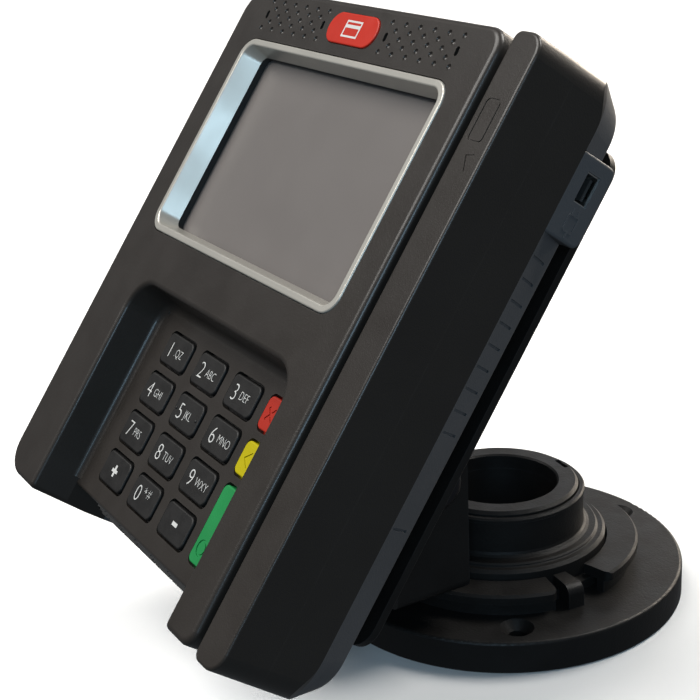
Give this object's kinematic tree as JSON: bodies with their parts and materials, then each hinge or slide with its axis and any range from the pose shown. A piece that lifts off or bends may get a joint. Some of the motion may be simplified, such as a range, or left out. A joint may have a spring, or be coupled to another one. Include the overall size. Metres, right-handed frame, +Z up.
{
  "type": "card payment terminal",
  "caption": "Card payment terminal with touch display, keypad, swipe slot and chip card mouth, held on a counter stand that swivels and tilts.",
  "frame": {"origin": "centre of the base plate's underside, on the counter", "axes": "+Z up along the swivel axis; the terminal's face looks towards -Y and up; +X to the right of someone standing in front of the face"},
  "size_m": [0.1464, 0.1857, 0.1808],
  "materials": {
    "stand_metal": "satin black powder coat",
    "steel": "zinc plated",
    "black_steel": "black oxide",
    "nylon": "natural",
    "casing": "fine texture, charcoal",
    "rear_casing": "fine texture, slate grey",
    "silver_trim": "satin silver paint",
    "badge_red": "gloss",
    "rubber": "matte",
    "touch_glass": "anti-glare",
    "lcd": "satin",
    "inner_plastic": "matte",
    "film": "amber film",
    "board": "solder resist",
    "shield": "tin plated",
    "key_black": "matte silicone hard top",
    "key_red": "matte",
    "key_yellow": "matte",
    "key_green": "matte",
    "print_white": "printed legends, visual only"
  },
  "bodies": {
    "stand_base": {"base_plate": "stand_metal", "retaining_ring": "stand_metal", "swivel_stop": "stand_metal", "spigot": "stand_metal", "grub_screw": "steel", "ring_nut": "stand_metal", "wear_washer": "nylon", "ring_screws": "steel"},
    "swivel": {"swivel_hub": "stand_metal", "yoke_seat": "stand_metal", "yoke_bracket": "stand_metal", "yoke_screws": "steel", "tilt_bolt": "black_steel", "tilt_nut": "steel", "friction_washers": "nylon"},
    "terminal": {"mount_plate": "stand_metal", "plate_screws": "steel", "cover_screws": "steel", "head_spring": "steel", "tilt_spacer": "black_steel", "front_cover": "casing", "keypad_deck": "casing", "swipe_rail": "casing", "rear_cover": "rear_casing", "side_port_housing": "rear_casing", "display_bezel": "silver_trim", "badge": "badge_red", "screen_gasket": "rubber", "keypad_mat": "rubber", "touch_panel": "touch_glass", "lcd_module": "lcd", "card_hood": "inner_plastic", "display_carrier": "inner_plastic", "chip_card_reader": "inner_plastic", "speakers": "inner_plastic", "io_connector": "inner_plastic", "side_port_tongue": "inner_plastic", "ribbon_cable": "film", "main_board": "board", "keypad_board": "board", "shield_cans": "shield", "side_port_socket": "shield", "backup_battery": "shield"},
    "swipe_head": {"magstripe_head": "shield"},
    "button_1": {"key_1": "key_black"},
    "button_2": {"key_2": "key_black"},
    "button_3": {"key_3": "key_black"},
    "button_4": {"key_4": "key_black"},
    "button_5": {"key_5": "key_black"},
    "button_6": {"key_6": "key_black"},
    "button_7": {"key_7": "key_black"},
    "button_8": {"key_8": "key_black"},
    "button_9": {"key_9": "key_black"},
    "button_plus": {"key_plus": "key_black"},
    "button_0": {"key_0": "key_black"},
    "button_minus": {"key_minus": "key_black"},
    "button_cancel": {"key_cancel": "key_red"},
    "button_clear": {"key_clear": "key_yellow"},
    "button_enter": {"key_enter": "key_green"}
  },
  "joints": [
    {"name": "swivel_turn", "type": "hinge", "parent": "stand_base", "child": "swivel", "pos_m": [0, 0, 0.02], "axis": [0, 0, 1], "range_deg": [-165, 165]},
    {"name": "terminal_tilt", "type": "hinge", "parent": "swivel", "child": "terminal", "pos_m": [0, -0.044, 0.056], "axis": [1, 0, 0], "range_deg": [-35, 20]},
    {"name": "swipe_head_press", "type": "slide", "parent": "terminal", "child": "swipe_head", "axis": [-1, 0, 0], "range_m": [0, 0.0006], "stiffness_N_per_m": 800},
    {"name": "press_1", "type": "slide", "parent": "terminal", "child": "button_1", "axis": [0, 0.8191, -0.5736], "range_m": [0, 0.001], "stiffness_N_per_m": 500},
    {"name": "press_2", "type": "slide", "parent": "terminal", "child": "button_2", "axis": [0, 0.8191, -0.5736], "range_m": [0, 0.001], "stiffness_N_per_m": 500},
    {"name": "press_3", "type": "slide", "parent": "terminal", "child": "button_3", "axis": [0, 0.8191, -0.5736], "range_m": [0, 0.001], "stiffness_N_per_m": 500},
    {"name": "press_4", "type": "slide", "parent": "terminal", "child": "button_4", "axis": [0, 0.8191, -0.5736], "range_m": [0, 0.001], "stiffness_N_per_m": 500},
    {"name": "press_5", "type": "slide", "parent": "terminal", "child": "button_5", "axis": [0, 0.8191, -0.5736], "range_m": [0, 0.001], "stiffness_N_per_m": 500},
    {"name": "press_6", "type": "slide", "parent": "terminal", "child": "button_6", "axis": [0, 0.8191, -0.5736], "range_m": [0, 0.001], "stiffness_N_per_m": 500},
    {"name": "press_7", "type": "slide", "parent": "terminal", "child": "button_7", "axis": [0, 0.8191, -0.5736], "range_m": [0, 0.001], "stiffness_N_per_m": 500},
    {"name": "press_8", "type": "slide", "parent": "terminal", "child": "button_8", "axis": [0, 0.8191, -0.5736], "range_m": [0, 0.001], "stiffness_N_per_m": 500},
    {"name": "press_9", "type": "slide", "parent": "terminal", "child": "button_9", "axis": [0, 0.8191, -0.5736], "range_m": [0, 0.001], "stiffness_N_per_m": 500},
    {"name": "press_plus", "type": "slide", "parent": "terminal", "child": "button_plus", "axis": [0, 0.8191, -0.5736], "range_m": [0, 0.001], "stiffness_N_per_m": 500},
    {"name": "press_0", "type": "slide", "parent": "terminal", "child": "button_0", "axis": [0, 0.8191, -0.5736], "range_m": [0, 0.001], "stiffness_N_per_m": 500},
    {"name": "press_minus", "type": "slide", "parent": "terminal", "child": "button_minus", "axis": [0, 0.8191, -0.5736], "range_m": [0, 0.001], "stiffness_N_per_m": 500},
    {"name": "press_cancel", "type": "slide", "parent": "terminal", "child": "button_cancel", "axis": [0, 0.8191, -0.5736], "range_m": [0, 0.001], "stiffness_N_per_m": 500},
    {"name": "press_clear", "type": "slide", "parent": "terminal", "child": "button_clear", "axis": [0, 0.8191, -0.5736], "range_m": [0, 0.001], "stiffness_N_per_m": 500},
    {"name": "press_enter", "type": "slide", "parent": "terminal", "child": "button_enter", "axis": [0, 0.8191, -0.5736], "range_m": [0, 0.001], "stiffness_N_per_m": 500}
  ]
}
